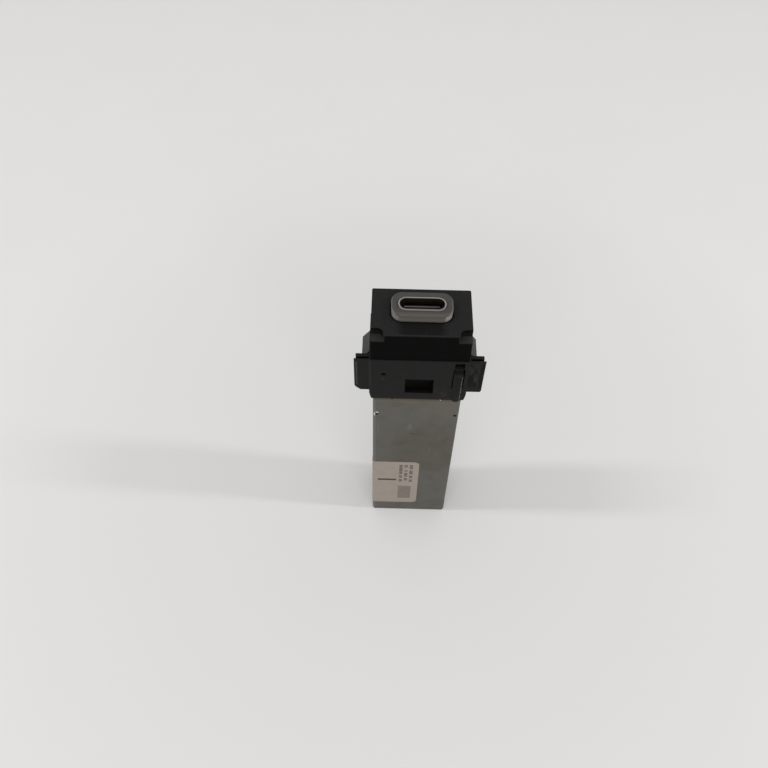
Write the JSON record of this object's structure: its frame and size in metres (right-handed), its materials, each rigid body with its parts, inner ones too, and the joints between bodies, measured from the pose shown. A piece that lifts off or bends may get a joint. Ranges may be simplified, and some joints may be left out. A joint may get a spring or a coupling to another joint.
{
  "type": "panel-mount usb-c port module",
  "caption": "Slim upright charging port module: moulded snap-in front with side ears, raised oval-port boss, and a folded metal can with a plug header in its rear end.",
  "frame": {"origin": "middle of the can's bottom face, under the middle of the whole box", "axes": "+Z along the module, out of the port; -Y is the front, with the latch window and label; +X to the right of the front"},
  "size_m": [0.0252, 0.013, 0.0718],
  "materials": {
    "black_plastic": "moulded black, fine grain",
    "grey_plastic": "moulded warm grey",
    "dark_felt": "short black felt",
    "shell_steel": "plated steel",
    "insulator_plastic": "moulded black",
    "contact_gold": "gold plated",
    "can_sheet": "tin plated sheet, satin",
    "label_paper": "printed film",
    "board_laminate": "solder mask",
    "chip_resin": "moulded resin",
    "ferrite": "pressed powder",
    "capacitor_can": "drawn can",
    "ceramic_chip": "ceramic",
    "thermal_gel": "soft filled silicone",
    "pin_tin": "tin plated"
  },
  "bodies": {
    "root": {"front_housing": "black_plastic", "port_carrier": "grey_plastic", "anti_rattle_pad": "dark_felt", "receptacle_shell": "shell_steel", "receptacle_tongue": "insulator_plastic", "mid_plate": "shell_steel", "upper_contacts": "contact_gold", "lower_contacts": "contact_gold", "can_front_cover": "can_sheet", "can_rear_case": "can_sheet", "label": "label_paper", "circuit_board": "board_laminate", "controller_chip": "chip_resin", "power_inductor": "ferrite", "power_transistors": "chip_resin", "bulk_capacitors": "capacitor_can", "chip_capacitors": "ceramic_chip", "chip_resistors": "chip_resin", "common_mode_choke": "ferrite", "diode_array": "chip_resin", "thermal_pad": "thermal_gel", "rear_header": "insulator_plastic", "header_pins": "pin_tin"}
  },
  "joints": []
}
